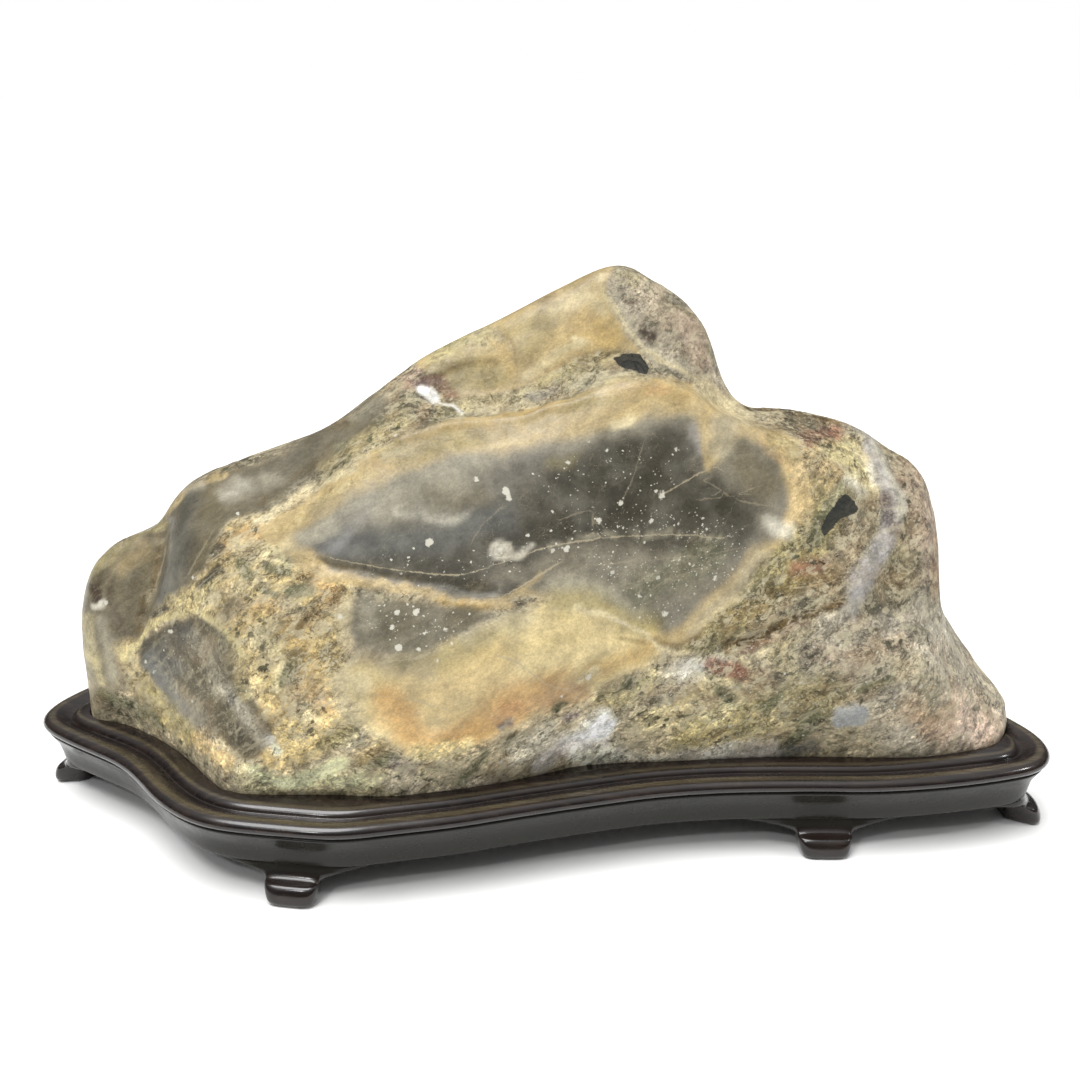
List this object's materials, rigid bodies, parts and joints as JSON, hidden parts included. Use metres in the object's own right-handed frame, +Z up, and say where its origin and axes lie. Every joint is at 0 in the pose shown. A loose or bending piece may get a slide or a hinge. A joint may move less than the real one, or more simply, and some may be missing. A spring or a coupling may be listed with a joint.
{
  "type": "scholars rock on stand",
  "caption": "Mountain-shaped polished breccia display rock resting in the fitted recess of a low carved dark hardwood stand on short feet.",
  "frame": {"origin": "bottom centre of the overall box, on the surface that the feet stand on", "axes": "+X along the length, +Y away from the show face, +Z up"},
  "size_m": [0.3032, 0.123, 0.1613],
  "materials": {
    "polished_breccia": "semi-polished, mottled dark grey chert, tan veins and olive breccia",
    "dark_lacquered_hardwood": "near-black brown glossy lacquer"
  },
  "bodies": {
    "root": {"rock": "polished_breccia", "stand": "dark_lacquered_hardwood"}
  },
  "joints": []
}
